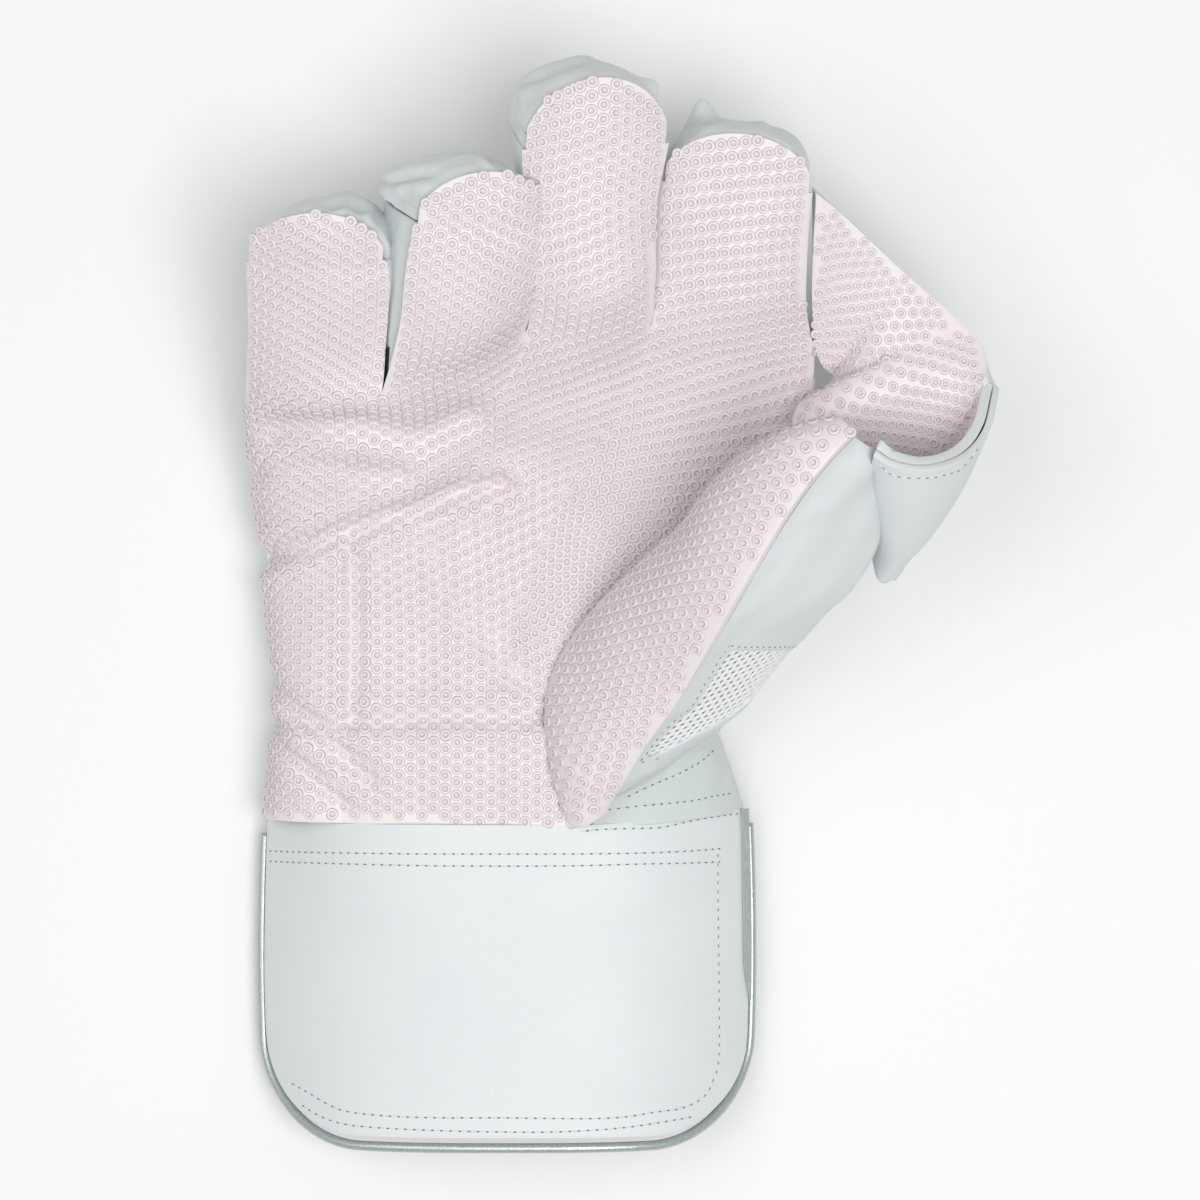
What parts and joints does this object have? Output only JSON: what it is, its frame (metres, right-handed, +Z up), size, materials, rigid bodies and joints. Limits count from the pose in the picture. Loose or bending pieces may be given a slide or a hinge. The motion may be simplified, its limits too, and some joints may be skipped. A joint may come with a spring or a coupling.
{
  "type": "wicketkeeping glove, right hand",
  "caption": "White leather wicketkeeping glove for the right hand, with pimpled rubber facing, thumb web, mesh panel and silver-piped cuff, lying palm up",
  "frame": {"origin": "on the table under the middle of the glove's box", "axes": "+Z up out of the palm, +Y towards the fingers, +X towards the thumb"},
  "size_m": [0.184, 0.2664, 0.0968],
  "materials": {
    "rubber_facing": "matte",
    "white_leather": "satin",
    "green_leather": "satin",
    "air_mesh": "matte",
    "silver_piping": "satin"
  },
  "bodies": {
    "root": {"palm_facing": "rubber_facing", "thumb_facing": "rubber_facing", "web_facing": "rubber_facing", "finger_back_little": "white_leather", "finger_back_ring": "white_leather", "finger_back_middle": "white_leather", "finger_back_index": "white_leather", "finger_cap_little": "white_leather", "finger_cap_ring": "white_leather", "finger_cap_middle": "white_leather", "finger_cap_index": "white_leather", "knuckle_band": "green_leather", "hand_back": "white_leather", "thumb_pad": "white_leather", "thumb_mesh": "air_mesh", "thumb_under": "white_leather", "web_back": "white_leather", "cuff_front": "white_leather", "cuff_back": "white_leather", "wrist_gusset": "white_leather", "cuff_piping_front": "silver_piping", "cuff_piping_back": "silver_piping"}
  },
  "joints": []
}
